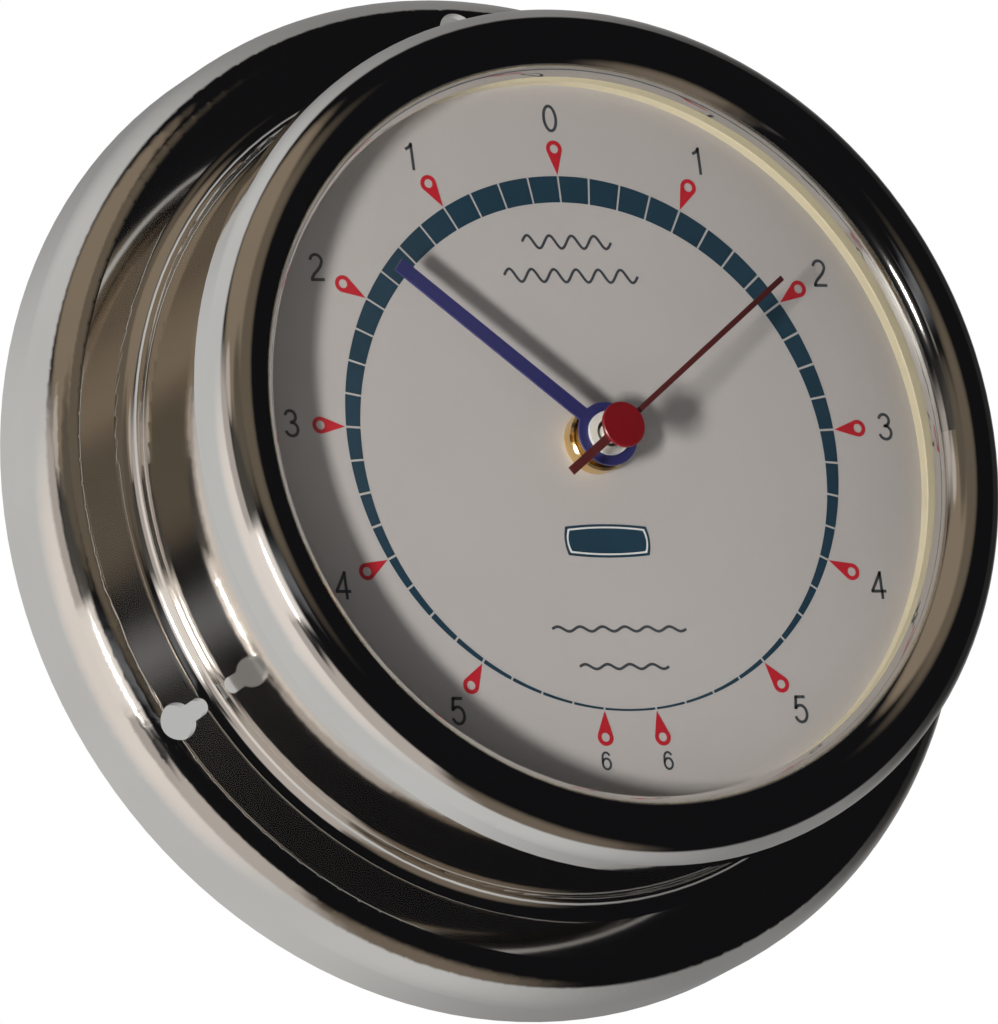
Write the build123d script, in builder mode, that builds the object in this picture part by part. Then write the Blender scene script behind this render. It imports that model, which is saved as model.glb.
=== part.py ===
from build123d import *
from math import atan2, cos, degrees, floor, radians, sin, sqrt
import os

os.makedirs("parts", exist_ok=True)

# Frame: millimetres, wall plane at Y = 0, dial faces -Y, 12 o'clock is +Z.
# A height is a distance from the wall towards the viewer, so Y = -height.

# Case: base flange and drum
case_wall = 1.5
base_radius = 75.0
base_side_height = 7.2
base_round_radial = 5.6
base_height = 14.6
flange_width = 13.8
foot_fillet = 3.0
drum_front = 40.3
keyhole_count = 3
keyhole_head_radius = 2.72
keyhole_neck_radius = 1.35
keyhole_inset = 6.5
keyhole_slide = 4.0

# Fits and seats
running_fit = 0.05
press_gap = 0.02
seat_gap = 0.1
side_gap = 0.4

# Dial stack
dial_drop = 2.55
dial_thickness = 1.0
seat_ring_thickness = 2.0
seat_ring_width = 5.5
surround_width = 6.3
surround_height = 1.95
washer_thickness = 0.5
washer_width = 5.1

# Bezel and glass
bezel_wall = 1.55
bezel_overlap = 3.3
bezel_roll_radius = 4.95
bezel_lip_rise = 0.4
bezel_bore_gap = 0.1
bezel_corner = 0.5
bezel_seat_wall = 3.95
glass_thickness = 1.5
glass_rim_gap = 0.5
glass_lip_gap = 0.55
glass_cap_gap = 1.95
seal_thickness = 0.5
seal_gap = 1.3

# Rear cover and its fixings
cover_overlap = 0.5
cover_thickness = 1.2
cover_window_gap = 2.0
cover_window_corner = 5.0
lug_length = 6.7
lug_width = 10.0
lug_height = 7.0
lug_turn = 60.0
screw_inset = 3.4
screw_radius = 1.5
screw_length = 6.0
screw_head_radius = 2.8
screw_head_height = 1.8
screw_slot_width = 0.7
screw_slot_depth = 0.7

# Movement housing and its battery
housing_corner = 3.0
housing_skin = 1.2
train_room = 10.0
coil_room = 4.0
bay_gap = 0.55
battery_radius = 7.25
battery_length = 50.5
battery_cap_radius = 2.75
battery_cap_length = 1.0

# Centre fixings
bush_wall = 0.65
bush_flange_width = 1.3
bush_flange_thickness = 0.6
bush_front = 2.0
nut_wall = 0.85
nut_height = 2.3
nut_slot_width = 1.2
nut_slot_depth = 0.6

# Hands, from the nut on the dial up to the cap
tide_pipe_wall = 1.15
tide_pipe_bore = 2.05
pipe_stand = 0.6
pipe_step = 0.4
seconds_arbor_radius = 0.8
collet_wall = 0.9
collet_gap = 0.5
collet_height = 1.2
tide_hand_thickness = 0.4
tide_hand_ring_width = 1.45
tide_hand_width = 2.1
tide_hand_inset = 14.2
tide_hand_turn = 309.6
seconds_tube_wall = 0.5
seconds_tube_gap = 0.4
seconds_tube_height = 3.1
seconds_hand_thickness = 0.3
seconds_hand_width = 0.8
seconds_hand_inset = 14.3
seconds_tip_gap = 0.55
seconds_bend_share = 0.06
seconds_hub_radius = 2.2
seconds_tail_length = 11.4
seconds_tail_width = 1.3
seconds_hand_turn = 53.6
seconds_cap_radius = 3.33
seconds_cap_thickness = 0.5

# Gear train: tooth counts, centre distances and directions from the centre
tide_teeth = 69
minute_pinion_teeth = 20
minute_teeth = 36
centre_pinion_teeth = 10
setting_teeth = 12
centre_gear_teeth = 64
third_pinion_teeth = 8
third_teeth = 60
seconds_pinion_teeth = 8
seconds_teeth = 32
intermediate_pinion_teeth = 8
intermediate_teeth = 45
rotor_teeth = 6
minute_distance = 8.9
minute_turn = 100.0
setting_turn = 80.0
third_distance = 10.2
third_turn = 300.0
intermediate_distance = 10.4
intermediate_turn = 30.0
rotor_distance = 7.65
rotor_turn = 10.0
arbor_radius = 0.5
pivot_depth = 0.7
post_radius = 1.0
friction_hub_radius = 3.0
addendum_share = 0.9
dedendum_share = 1.25
tooth_share = 0.44
tip_share = 0.45
rim_share = 0.72
hub_share = 0.3
spoke_share = 0.14
spoke_count = 5

# Gear train: thicknesses and the gaps between its layers, from the front to the rear
wheel_thickness = 1.0
pinion_lead = 0.2
tide_wheel_room = 1.05
tide_wheel_gap = 0.8
minute_wheel_gap = 0.9
train_gap = 0.6
rotor_gap = 0.4
rotor_room = 0.85

# Stepping motor and electronics
rotor_radius = 2.9
rotor_height = 1.6
stator_thickness = 1.0
stator_length = 32.0
stator_width = 7.0
stator_hole_radius = 3.4
stator_arm_width = 5.0
stator_left = 18.5
core_thickness = 0.8
core_width = 2.4
coil_radius = 2.3
coil_length = 17.0
coil_flange_thickness = 0.8
coil_flange_size = 4.9
coil_offset = 2.76
board_width = 7.0
board_height = 32.0
board_thickness = 1.0
board_inset = 1.6
quartz_radius = 1.0
quartz_length = 6.0
contact_thickness = 0.4
contact_height = 10.0
contact_width = 5.0
contact_room = 1.55

# Setting knob
setting_arbor_radius = 1.0
knob_radius = 5.5
knob_height = 3.6
knob_gap = 1.05
knob_flutes = 12
knob_flute_radius = 0.8

# Radii, from the base inwards
drum_radius = base_radius - flange_width
drum_bore = drum_radius - case_wall
keyhole_circle = base_radius - keyhole_inset
dial_radius = drum_bore - side_gap
surround_inner_radius = dial_radius - surround_width
bezel_bore = drum_radius + bezel_bore_gap
bezel_skirt_radius = bezel_bore + bezel_wall
roll_centre = bezel_skirt_radius - bezel_roll_radius
glass_seat_radius = bezel_skirt_radius - bezel_seat_wall
glass_rim_radius = glass_seat_radius - glass_rim_gap
glass_dome_radius = roll_centre - bezel_roll_radius - glass_lip_gap
cover_radius = drum_bore + cover_overlap
lug_inner_radius = drum_bore - lug_length
lug_middle = (lug_inner_radius + drum_bore) / 2
screw_circle = drum_bore - screw_inset
tide_hand_length = surround_inner_radius - tide_hand_inset
seconds_hand_length = surround_inner_radius - seconds_hand_inset

# Radii round the centre, from the seconds arbor outwards
centre_pipe_bore = seconds_arbor_radius + running_fit
seconds_tube_radius = seconds_arbor_radius + seconds_tube_wall
tide_pipe_radius = tide_pipe_bore + tide_pipe_wall
collet_radius = tide_pipe_radius + collet_wall
tide_hand_ring_radius = tide_pipe_radius + tide_hand_ring_width
bush_bore = tide_pipe_radius + running_fit
bush_radius = bush_bore + bush_wall
bush_flange_radius = bush_radius + bush_flange_width
nut_radius = bush_radius + nut_wall
washer_radius = bush_radius + washer_width

# Heights of dial, glass and hands
dial_front = drum_front - dial_drop
dial_back = dial_front - dial_thickness
seat_ring_back = dial_back - seat_ring_thickness
glass_back = dial_front + surround_height + seat_gap
glass_rim_front = glass_back + glass_thickness
seal_front = glass_rim_front + seal_thickness
bezel_rear = drum_front - bezel_overlap
bezel_roll_height = seal_front - bezel_lip_rise
cover_front = base_height
cover_back = cover_front - cover_thickness
collet_bottom = dial_front + nut_height + collet_gap
tide_hand_bottom = collet_bottom + collet_height
tide_pipe_top = tide_hand_bottom + tide_hand_thickness + pipe_stand
centre_pipe_top = tide_pipe_top - pipe_step
tube_bottom = tide_pipe_top + seconds_tube_gap
seconds_hand_bottom = tube_bottom + seconds_tube_height
seconds_hand_top = seconds_hand_bottom + seconds_hand_thickness
glass_apex = seconds_hand_top + seconds_cap_thickness + glass_cap_gap + glass_thickness

# Heights of the movement, from the dial to the rear
housing_front = dial_back - washer_thickness
housing_inner = housing_front - housing_skin
tide_wheel_level = housing_inner - tide_wheel_room - wheel_thickness
minute_wheel_level = tide_wheel_level - tide_wheel_gap - wheel_thickness
centre_gear_level = minute_wheel_level - minute_wheel_gap - wheel_thickness
third_wheel_level = centre_gear_level - train_gap - wheel_thickness
seconds_wheel_level = third_wheel_level - train_gap - wheel_thickness
intermediate_wheel_level = seconds_wheel_level - train_gap - wheel_thickness
pinion_thickness = wheel_thickness + 2 * pinion_lead
minute_pinion_level = tide_wheel_level - pinion_lead
centre_pinion_level = minute_wheel_level - pinion_lead
third_pinion_level = centre_gear_level - pinion_lead
seconds_pinion_level = third_wheel_level - pinion_lead
intermediate_pinion_level = seconds_wheel_level - pinion_lead
rotor_pinion_level = intermediate_wheel_level - pinion_lead
rotor_level = rotor_pinion_level - rotor_gap - rotor_height
stator_level = rotor_level + (rotor_height - stator_thickness) / 2
core_level = stator_level + stator_thickness
plate_inner = rotor_level - rotor_room
housing_back = plate_inner - housing_skin
housing_depth = housing_front - housing_back
battery_level = housing_inner - battery_radius - seat_gap
knob_level = housing_back - knob_gap - knob_height


def level(height):
    """Plane parallel to the dial, facing the viewer, at a height over the wall."""
    return Plane.XZ.offset(height)


def around(turn, distance):
    """Point at a clockwise turn from 12 o'clock and a distance from the centre."""
    return (distance * sin(radians(turn)), distance * cos(radians(turn)))


def shifted(start, turn, distance):
    """Point reached from another one by a clockwise turn and a distance."""
    step = around(turn, distance)
    return (start[0] + step[0], start[1] + step[1])


# Section plane through the clock's axis: first coordinate radius, second height
section = Plane(origin=(0, 0, 0), x_dir=(1, 0, 0), z_dir=(0, 0, -1))

# Pivot places
centre_place = (0, 0)
minute_place = around(minute_turn, minute_distance)
minute_module = 2 * minute_distance / (centre_pinion_teeth + minute_teeth)
tide_module = 2 * minute_distance / (minute_pinion_teeth + tide_teeth)
setting_distance = minute_module * (minute_teeth + setting_teeth) / 2
setting_place = shifted(minute_place, setting_turn, setting_distance)
third_place = around(third_turn, third_distance)
third_module = 2 * third_distance / (seconds_pinion_teeth + third_teeth)
centre_module = 2 * third_distance / (third_pinion_teeth + centre_gear_teeth)
intermediate_place = around(intermediate_turn, intermediate_distance)
seconds_module = 2 * intermediate_distance / (intermediate_pinion_teeth + seconds_teeth)
rotor_place = shifted(intermediate_place, rotor_turn, rotor_distance)
rotor_module = 2 * rotor_distance / (rotor_teeth + intermediate_teeth)
centre_pinion_root = minute_module * (centre_pinion_teeth / 2 - dedendum_share)

# Outline of the housing: train and motor above, battery bay below
coil_line = rotor_place[1] + stator_width / 2 + coil_offset
bay_height = 2 * (battery_radius + bay_gap)
bay_top = -train_room - housing_skin
battery_line = bay_top - bay_height / 2
housing_top = coil_line + coil_room + housing_skin
housing_bottom = bay_top - bay_height - housing_skin
housing_width = battery_length + 2 * (contact_room + housing_skin)
housing_height = housing_top - housing_bottom
housing_middle = (housing_top + housing_bottom) / 2
bay_width = housing_width - 2 * housing_skin


def heading(start, end):
    """Direction from one pivot to another, in degrees counterclockwise from +X."""
    return degrees(atan2(end[1] - start[1], end[0] - start[0]))


def meshing_phase(start, end, start_teeth, end_teeth, start_phase):
    """Direction of a tooth of the second wheel so that it meshes with the first."""
    line = heading(start, end)
    pitch = 360 / start_teeth
    lead = (line - start_phase) / pitch
    offset = (lead - floor(lead + 1 / 2)) * pitch
    return line + 180 + offset * start_teeth / end_teeth + 180 / end_teeth


def tooth_points(place, teeth, module, phase):
    """Outline of a clock wheel: radial flanks below the pitch circle, narrowed tips."""
    pitch_radius = module * teeth / 2
    tip_radius = pitch_radius + addendum_share * module
    root_radius = pitch_radius - dedendum_share * module
    half_tooth = tooth_share * 180 / teeth
    half_tip = half_tooth * tip_share
    shape = (
        (root_radius, -half_tooth),
        (pitch_radius, -half_tooth),
        (tip_radius, -half_tip),
        (tip_radius, half_tip),
        (pitch_radius, half_tooth),
        (root_radius, half_tooth),
    )
    points = []
    for tooth in range(teeth):
        middle = phase + 360 * tooth / teeth
        for radius, lead in shape:
            turn = radians(middle + lead)
            points.append((place[0] + radius * cos(turn), place[1] + radius * sin(turn)))
    return points


def toothed(place, height, thickness, teeth, module, phase):
    """Solid toothed wheel or pinion."""
    with BuildPart() as wheel:
        with BuildSketch(level(height)):
            with BuildLine():
                Polyline(*tooth_points(place, teeth, module, phase), close=True)
            make_face()
        extrude(amount=thickness)
    return wheel.part


def spoked(place, height, thickness, teeth, module, phase):
    """Toothed wheel with a rim, a hub and spokes between them."""
    root_radius = module * (teeth / 2 - dedendum_share)
    rim_inner = root_radius * (1 + rim_share) / 2
    hub_outer = root_radius * hub_share
    with BuildPart() as windows:
        with BuildSketch(level(height)):
            with Locations(place):
                Circle(rim_inner)
                Circle(hub_outer, mode=Mode.SUBTRACT)
                with PolarLocations(0, spoke_count):
                    Rectangle(
                        rim_inner,
                        root_radius * spoke_share,
                        align=(Align.MIN, Align.CENTER),
                        mode=Mode.SUBTRACT,
                    )
        extrude(amount=thickness)
    return toothed(place, height, thickness, teeth, module, phase) - windows.part


# Tooth directions, wheel by wheel along each train
tide_phase = 90.0
minute_pinion_phase = meshing_phase(
    centre_place, minute_place, tide_teeth, minute_pinion_teeth, tide_phase
)
minute_phase = 90.0
centre_pinion_phase = meshing_phase(
    minute_place, centre_place, minute_teeth, centre_pinion_teeth, minute_phase
)
setting_phase = meshing_phase(
    minute_place, setting_place, minute_teeth, setting_teeth, minute_phase
)
seconds_pinion_phase = 90.0
third_phase = meshing_phase(
    centre_place, third_place, seconds_pinion_teeth, third_teeth, seconds_pinion_phase
)
third_pinion_phase = 90.0
centre_gear_phase = meshing_phase(
    third_place, centre_place, third_pinion_teeth, centre_gear_teeth, third_pinion_phase
)
seconds_phase = 90.0
intermediate_pinion_phase = meshing_phase(
    centre_place,
    intermediate_place,
    seconds_teeth,
    intermediate_pinion_teeth,
    seconds_phase,
)
intermediate_phase = 90.0
rotor_phase = meshing_phase(
    intermediate_place, rotor_place, intermediate_teeth, rotor_teeth, intermediate_phase
)

# Base flange: rim, large rounding, flat with the keyholes and foot fillet, all of one
# sheet thickness and open towards the wall
inner_side = base_radius - case_wall
inner_flange = base_height - case_wall
flange_edge = base_radius - base_round_radial
foot_centre_radius = drum_radius + foot_fillet
foot_centre_height = base_height + foot_fillet
foot_outer = foot_fillet * (1 - sqrt(1 / 2))
foot_inner = (foot_fillet + case_wall) * sqrt(1 / 2)
with BuildPart() as base_flange:
    with BuildSketch(section):
        with BuildLine():
            Line((base_radius, 0), (base_radius, base_side_height))
            EllipticalCenterArc(
                (flange_edge, base_side_height),
                base_round_radial,
                base_height - base_side_height,
                start_angle=0,
                arc_size=90,
            )
            Line((flange_edge, base_height), (foot_centre_radius, base_height))
            ThreePointArc(
                (foot_centre_radius, base_height),
                (drum_radius + foot_outer, base_height + foot_outer),
                (drum_radius, foot_centre_height),
            )
            Line((drum_radius, foot_centre_height), (drum_bore, foot_centre_height))
            ThreePointArc(
                (drum_bore, foot_centre_height),
                (foot_centre_radius - foot_inner, foot_centre_height - foot_inner),
                (foot_centre_radius, inner_flange),
            )
            Line((foot_centre_radius, inner_flange), (flange_edge, inner_flange))
            EllipticalCenterArc(
                (flange_edge, base_side_height),
                base_round_radial - case_wall,
                inner_flange - base_side_height,
                start_angle=0,
                arc_size=90,
            )
            Line((inner_side, base_side_height), (inner_side, 0))
            Line((inner_side, 0), (base_radius, 0))
        make_face()
    revolve(axis=Axis.Y)
    with BuildSketch(level(base_side_height)):
        with PolarLocations(0, keyhole_count, start_angle=90):
            with Locations((keyhole_circle, 0)):
                Circle(keyhole_head_radius)
            with Locations((keyhole_circle - keyhole_slide / 2, 0)):
                SlotCenterToCenter(keyhole_slide, 2 * keyhole_neck_radius)
    extrude(amount=base_height, mode=Mode.SUBTRACT)
base_flange.part.label = "base_flange"
export_step(base_flange.part, "parts/base_flange.step")

# Drum: tube that stands on the foot of the flange and carries dial and bezel
with BuildPart() as drum:
    with BuildSketch(level(foot_centre_height)):
        Circle(drum_radius)
        Circle(drum_bore, mode=Mode.SUBTRACT)
    extrude(amount=drum_front - foot_centre_height)
drum.part.label = "drum"
export_step(drum.part, "parts/drum.step")

# Seat ring: the ledge inside the drum that carries the dial
with BuildPart() as dial_seat_ring:
    with BuildSketch(level(seat_ring_back)):
        Circle(drum_bore)
        Circle(drum_bore - seat_ring_width, mode=Mode.SUBTRACT)
    extrude(amount=seat_ring_thickness)
dial_seat_ring.part.label = "dial_seat_ring"
export_step(dial_seat_ring.part, "parts/dial_seat_ring.step")

# Dial: flat disc with a hole for the centre bush
with BuildPart() as dial:
    with BuildSketch(level(dial_back)):
        Circle(dial_radius)
        Circle(bush_radius + running_fit, mode=Mode.SUBTRACT)
    extrude(amount=dial_thickness)
dial.part.label = "dial"
export_step(dial.part, "parts/dial.step")

# Surround: ring on the edge of the dial that fills the depth below the glass
with BuildPart() as dial_surround:
    with BuildSketch(level(dial_front)):
        Circle(dial_radius)
        Circle(surround_inner_radius, mode=Mode.SUBTRACT)
    extrude(amount=surround_height)
dial_surround.part.label = "dial_surround"
export_step(dial_surround.part, "parts/dial_surround.step")

# Bezel: skirt over the drum, rolled over into a half-round front, with a stepped
# bore for glass and seal
lip_radius = roll_centre - sqrt(bezel_roll_radius**2 - bezel_lip_rise**2)
with BuildPart() as bezel_ring:
    with BuildSketch(section):
        with BuildLine():
            Line((bezel_skirt_radius, bezel_rear + bezel_corner), (bezel_skirt_radius, bezel_roll_height))
            ThreePointArc(
                (bezel_skirt_radius, bezel_roll_height),
                (roll_centre, bezel_roll_height + bezel_roll_radius),
                (lip_radius, seal_front),
            )
            Line((lip_radius, seal_front), (glass_seat_radius, seal_front))
            Line((glass_seat_radius, seal_front), (glass_seat_radius, drum_front + seat_gap))
            Line((glass_seat_radius, drum_front + seat_gap), (bezel_bore, drum_front + seat_gap))
            Line((bezel_bore, drum_front + seat_gap), (bezel_bore, bezel_rear))
            Line((bezel_bore, bezel_rear), (bezel_skirt_radius - bezel_corner, bezel_rear))
            Line(
                (bezel_skirt_radius - bezel_corner, bezel_rear),
                (bezel_skirt_radius, bezel_rear + bezel_corner),
            )
        make_face()
    revolve(axis=Axis.Y)
bezel_ring.part.label = "bezel_ring"
export_step(bezel_ring.part, "parts/bezel_ring.step")

# Seal: flat ring between the glass rim and the bezel
with BuildPart() as glass_seal:
    with BuildSketch(level(glass_rim_front)):
        Circle(glass_rim_radius)
        Circle(glass_dome_radius + seal_gap, mode=Mode.SUBTRACT)
    extrude(amount=seal_thickness)
glass_seal.part.label = "glass_seal"
export_step(glass_seal.part, "parts/glass_seal.step")

# Glass: flat rim and shallow dome, both of one thickness
dome_rise = glass_apex - glass_rim_front
dome_sphere = (glass_dome_radius**2 + dome_rise**2) / (2 * dome_rise)
dome_base = glass_apex - dome_sphere
inner_sphere = dome_sphere - glass_thickness
inner_dome_radius = sqrt(inner_sphere**2 - (glass_back - dome_base) ** 2)
half_turn = atan2(glass_dome_radius, glass_rim_front - dome_base) / 2
with BuildPart() as glass:
    with BuildSketch(section):
        with BuildLine():
            Line((0, glass_apex - glass_thickness), (0, glass_apex))
            ThreePointArc(
                (0, glass_apex),
                (dome_sphere * sin(half_turn), dome_base + dome_sphere * cos(half_turn)),
                (glass_dome_radius, glass_rim_front),
            )
            Line((glass_dome_radius, glass_rim_front), (glass_rim_radius, glass_rim_front))
            Line((glass_rim_radius, glass_rim_front), (glass_rim_radius, glass_back))
            Line((glass_rim_radius, glass_back), (inner_dome_radius, glass_back))
            ThreePointArc(
                (inner_dome_radius, glass_back),
                (inner_sphere * sin(half_turn), dome_base + inner_sphere * cos(half_turn)),
                (0, glass_apex - glass_thickness),
            )
        make_face()
    revolve(axis=Axis.Y)
glass.part.label = "glass"
export_step(glass.part, "parts/glass.step")

# Rear cover: plate in the mouth of the drum with a window for battery and knob
with BuildPart() as rear_cover:
    with BuildSketch(level(cover_back)):
        Circle(cover_radius)
        with Locations((0, housing_middle)):
            RectangleRounded(
                housing_width + 2 * cover_window_gap,
                housing_height + 2 * cover_window_gap,
                cover_window_corner,
                mode=Mode.SUBTRACT,
            )
        with PolarLocations(screw_circle, keyhole_count, start_angle=90 - lug_turn):
            Circle(screw_radius + seat_gap, mode=Mode.SUBTRACT)
    extrude(amount=cover_thickness)
rear_cover.part.label = "rear_cover"
export_step(rear_cover.part, "parts/rear_cover.step")

# Lugs: three blocks on the drum's inside that take the cover screws
with BuildPart() as cover_lugs:
    with BuildSketch(level(cover_front)):
        with PolarLocations(lug_middle, keyhole_count, start_angle=90 - lug_turn):
            Rectangle(2 * lug_length, lug_width)
        Circle(drum_bore, mode=Mode.INTERSECT)
        Circle(lug_inner_radius, mode=Mode.SUBTRACT)
        with PolarLocations(screw_circle, keyhole_count, start_angle=90 - lug_turn):
            Circle(screw_radius + press_gap, mode=Mode.SUBTRACT)
    extrude(amount=foot_centre_height - cover_front + lug_height)
    with BuildSketch(level(cover_front)):
        Circle(base_radius)
        Circle(drum_bore - foot_fillet / 2, mode=Mode.SUBTRACT)
    extrude(amount=foot_centre_height - cover_front, mode=Mode.SUBTRACT)
cover_lugs.part.label = "cover_lugs"
export_step(cover_lugs.part, "parts/cover_lugs.step")

# Cover screws: slotted pan heads behind the cover, shanks in the lugs
with BuildPart() as cover_screws:
    with BuildSketch(level(cover_back - screw_head_height)):
        with PolarLocations(screw_circle, keyhole_count, start_angle=90 - lug_turn):
            Circle(screw_head_radius)
    extrude(amount=screw_head_height)
    with BuildSketch(level(cover_back)):
        with PolarLocations(screw_circle, keyhole_count, start_angle=90 - lug_turn):
            Circle(screw_radius)
    extrude(amount=screw_length)
    with BuildSketch(level(cover_back - screw_head_height)):
        with PolarLocations(screw_circle, keyhole_count, start_angle=90 - lug_turn):
            Rectangle(2 * screw_head_radius, screw_slot_width)
    extrude(amount=screw_slot_depth, mode=Mode.SUBTRACT)
cover_screws.part.label = "cover_screws"
export_step(cover_screws.part, "parts/cover_screws.step")

# Movement housing, front tray: floor, side walls, battery bay and pivot bosses
boss_radius = 2 * (arbor_radius + running_fit)
arbor_places = (third_place, intermediate_place, rotor_place)
core_bottom = bay_top + housing_skin
core_top = housing_top - housing_skin
with BuildPart() as housing_tray:
    with BuildSketch(level(plate_inner)):
        with Locations((0, housing_middle)):
            RectangleRounded(housing_width, housing_height, housing_corner)
    extrude(amount=housing_front - plate_inner)
    with BuildSketch(level(plate_inner)):
        with Locations((0, (core_bottom + core_top) / 2)):
            Rectangle(bay_width, core_top - core_bottom)
        with Locations((0, battery_line)):
            Rectangle(bay_width, bay_height)
    extrude(amount=housing_inner - plate_inner, mode=Mode.SUBTRACT)
    with BuildSketch(level(housing_inner - pivot_depth)):
        with Locations(*arbor_places, setting_place):
            Circle(boss_radius + arbor_radius)
    extrude(amount=pivot_depth)
    with BuildSketch(level(housing_inner - pivot_depth)):
        with Locations(*arbor_places):
            Circle(arbor_radius + running_fit)
        with Locations(setting_place):
            Circle(setting_arbor_radius + running_fit)
    extrude(amount=2 * pivot_depth, mode=Mode.SUBTRACT)
    with BuildSketch(level(minute_wheel_level - seat_gap)):
        with Locations(minute_place):
            Circle(post_radius)
    extrude(amount=housing_inner - minute_wheel_level + seat_gap)
    with BuildSketch(level(plate_inner)):
        Circle(bush_radius + press_gap)
    extrude(amount=housing_depth, mode=Mode.SUBTRACT)
housing_tray.part.label = "housing_tray"
export_step(housing_tray.part, "parts/housing_tray.step")

# Movement housing, rear plate: leaves the battery bay open to the rear
plate_bottom = bay_top + press_gap
with BuildPart() as housing_plate:
    with BuildSketch(level(housing_back)):
        with Locations((0, housing_middle)):
            RectangleRounded(housing_width, housing_height, housing_corner)
        with Locations((0, plate_bottom)):
            Rectangle(
                housing_width, housing_height, align=(Align.CENTER, Align.MAX), mode=Mode.SUBTRACT
            )
        with Locations(setting_place):
            Circle(setting_arbor_radius + running_fit, mode=Mode.SUBTRACT)
    extrude(amount=housing_skin)
    with BuildSketch(level(plate_inner - pivot_depth)):
        with Locations(centre_place):
            Circle(seconds_arbor_radius + running_fit)
        with Locations(*arbor_places):
            Circle(arbor_radius + running_fit)
    extrude(amount=pivot_depth, mode=Mode.SUBTRACT)
housing_plate.part.label = "housing_plate"
export_step(housing_plate.part, "parts/housing_plate.step")

# Rubber washer between housing and dial
with BuildPart() as rubber_washer:
    with BuildSketch(level(housing_front)):
        Circle(washer_radius)
        Circle(bush_radius + seat_gap, mode=Mode.SUBTRACT)
    extrude(amount=washer_thickness)
rubber_washer.part.label = "rubber_washer"
export_step(rubber_washer.part, "parts/rubber_washer.step")

# Centre bush: flange behind the housing floor, threaded tube through the dial
with BuildPart() as centre_bush:
    with BuildSketch(level(housing_inner - bush_flange_thickness)):
        Circle(bush_flange_radius)
    extrude(amount=bush_flange_thickness)
    with BuildSketch(level(housing_inner)):
        Circle(bush_radius)
    extrude(amount=dial_front + bush_front - housing_inner)
    with BuildSketch(level(housing_inner - bush_flange_thickness)):
        Circle(bush_bore)
    extrude(amount=housing_depth, mode=Mode.SUBTRACT)
centre_bush.part.label = "centre_bush"
export_step(centre_bush.part, "parts/centre_bush.step")

# Hub nut: round nut with two key slots, clamps the dial
with BuildPart() as hub_nut:
    with BuildSketch(level(dial_front)):
        Circle(nut_radius)
        Circle(bush_radius + press_gap, mode=Mode.SUBTRACT)
    extrude(amount=nut_height)
    with BuildSketch(level(dial_front + nut_height - nut_slot_depth)):
        Rectangle(2 * nut_radius, nut_slot_width)
    extrude(amount=nut_slot_depth, mode=Mode.SUBTRACT)
    chamfer(
        hub_nut.edges().filter_by(GeomType.CIRCLE).group_by(Axis.Y)[0].sort_by(SortBy.RADIUS)[-2:],
        length=nut_slot_depth / 2,
    )
hub_nut.part.label = "hub_nut"
export_step(hub_nut.part, "parts/hub_nut.step")

# Tide wheel with its pipe
with BuildPart() as tide_wheel:
    add(toothed(centre_place, tide_wheel_level, wheel_thickness, tide_teeth, tide_module, tide_phase))
    with BuildSketch(level(tide_wheel_level)):
        Circle(tide_pipe_radius)
    extrude(amount=tide_pipe_top - tide_wheel_level)
    with BuildSketch(level(tide_wheel_level)):
        Circle(tide_pipe_bore)
    extrude(amount=housing_depth, mode=Mode.SUBTRACT)
tide_wheel.part.label = "tide_wheel"
export_step(tide_wheel.part, "parts/tide_wheel.step")

# Collet of the tide hand, pressed on the tide pipe
with BuildPart() as tide_collet:
    with BuildSketch(level(collet_bottom)):
        Circle(collet_radius)
        Circle(tide_pipe_radius + press_gap, mode=Mode.SUBTRACT)
    extrude(amount=tide_hand_bottom - collet_bottom)
tide_collet.part.label = "tide_collet"
export_step(tide_collet.part, "parts/tide_collet.step")

# Tide hand: flat bar with a ring-shaped hub
with BuildPart() as tide_hand:
    with BuildSketch(level(tide_hand_bottom)):
        Circle(tide_hand_ring_radius)
        with PolarLocations(0, 1, start_angle=90 - tide_hand_turn):
            Rectangle(tide_hand_length, tide_hand_width, align=(Align.MIN, Align.CENTER))
        Circle(tide_pipe_radius + press_gap, mode=Mode.SUBTRACT)
    extrude(amount=tide_hand_thickness)
tide_hand.part.label = "tide_hand"
export_step(tide_hand.part, "parts/tide_hand.step")

# Centre pinion with its pipe, carried by the friction clutch of the centre gear
with BuildPart() as centre_pinion:
    add(
        toothed(
            centre_place,
            centre_pinion_level,
            pinion_thickness,
            centre_pinion_teeth,
            minute_module,
            centre_pinion_phase,
        )
    )
    with BuildSketch(level(centre_gear_level - seat_gap)):
        Circle(centre_pinion_root)
    extrude(amount=centre_pipe_top - centre_gear_level + seat_gap)
    with BuildSketch(level(centre_gear_level - seat_gap)):
        Circle(centre_pipe_bore)
    extrude(amount=housing_depth, mode=Mode.SUBTRACT)
centre_pinion.part.label = "centre_pinion"
export_step(centre_pinion.part, "parts/centre_pinion.step")

# Centre gear: turns the centre pinion by friction, slips when the hand is set
with BuildPart() as centre_gear:
    add(
        toothed(
            centre_place,
            centre_gear_level,
            wheel_thickness,
            centre_gear_teeth,
            centre_module,
            centre_gear_phase,
        )
    )
    with BuildSketch(level(centre_gear_level)):
        Circle(friction_hub_radius)
    extrude(amount=centre_pinion_level - centre_gear_level - seat_gap)
    with BuildSketch(level(centre_gear_level)):
        Circle(centre_pinion_root + running_fit)
    extrude(amount=housing_depth, mode=Mode.SUBTRACT)
centre_gear.part.label = "centre_gear"
export_step(centre_gear.part, "parts/centre_gear.step")

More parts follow.
